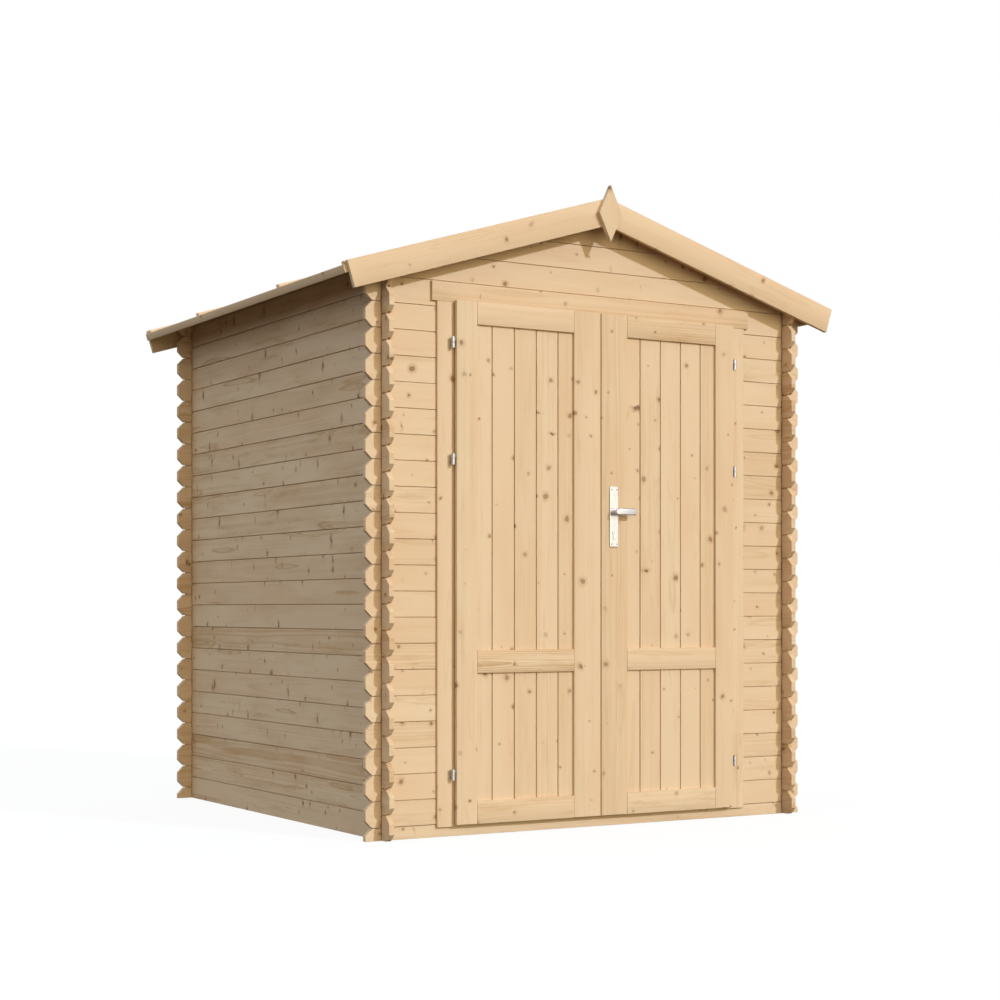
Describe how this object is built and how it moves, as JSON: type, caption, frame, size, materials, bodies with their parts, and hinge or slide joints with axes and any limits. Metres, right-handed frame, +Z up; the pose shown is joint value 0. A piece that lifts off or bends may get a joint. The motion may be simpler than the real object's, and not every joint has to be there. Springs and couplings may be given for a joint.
{
  "type": "wooden garden shed",
  "caption": "Small gable-roofed garden shed of interlocking tongue-and-groove boards, hollow, with a framed double door that swings outward on a lever handle.",
  "frame": {"origin": "on the ground at the centre of the shed's plan", "axes": "+Z up, the door faces -Y, +X to the right seen from the front"},
  "size_m": [2.1098, 1.956, 2.3213],
  "materials": {
    "wall_boards": "raw planed spruce",
    "roof_boards": "raw planed spruce",
    "trim_boards": "raw planed spruce",
    "door_boards": "raw planed spruce",
    "door_frame": "raw planed spruce",
    "hinge_steel": "zinc-plated steel",
    "handle_metal": "satin light metal",
    "lock_steel": "satin steel"
  },
  "bodies": {
    "root": {"left_wall": "wall_boards", "right_wall": "wall_boards", "back_wall": "wall_boards", "back_gable": "wall_boards", "front_wall_left": "wall_boards", "front_wall_right": "wall_boards", "front_threshold": "wall_boards", "front_gable": "wall_boards", "ridge_purlin": "roof_boards", "roof_left": "roof_boards", "roof_right": "roof_boards", "left_jamb": "trim_boards", "right_jamb": "trim_boards", "door_header": "trim_boards", "eave_strip_left": "trim_boards", "eave_strip_right": "trim_boards", "battens_left": "trim_boards", "battens_right": "trim_boards", "barge_front_left": "trim_boards", "barge_front_right": "trim_boards", "barge_back_left": "trim_boards", "barge_back_right": "trim_boards", "finial_front": "trim_boards", "finial_back": "trim_boards", "hinges_left_fixed": "hinge_steel", "hinges_right_fixed": "hinge_steel"},
    "left_leaf": {"leaf_boards_left": "door_boards", "hinge_stile_left": "door_frame", "meeting_stile_left": "door_frame", "rails_left": "door_frame", "hinges_left_moving": "hinge_steel"},
    "right_leaf": {"leaf_boards_right": "door_boards", "hinge_stile_right": "door_frame", "meeting_stile_right": "door_frame", "rails_right": "door_frame", "hinges_right_moving": "hinge_steel", "handle_plate_outside": "handle_metal", "handle_plate_inside": "handle_metal", "lock_cylinder": "lock_steel"},
    "lever": {"lever_outside": "handle_metal", "lever_inside": "handle_metal", "lever_spindle": "lock_steel"}
  },
  "joints": [
    {"name": "left_door", "type": "hinge", "parent": "root", "child": "left_leaf", "pos_m": [-0.613, -0.907, 0.216], "axis": [0, 0, -1], "range_deg": [0, 150]},
    {"name": "right_door", "type": "hinge", "parent": "root", "child": "right_leaf", "pos_m": [0.613, -0.907, 0.216], "axis": [0, 0, 1], "range_deg": [0, 150]},
    {"name": "lever_turn", "type": "hinge", "parent": "right_leaf", "child": "lever", "pos_m": [0.0545, -0.905, 1.146], "axis": [0, 1, 0], "range_deg": [0, 40], "stiffness_Nm_per_rad": 1.5, "springref_deg": -17.19}
  ]
}
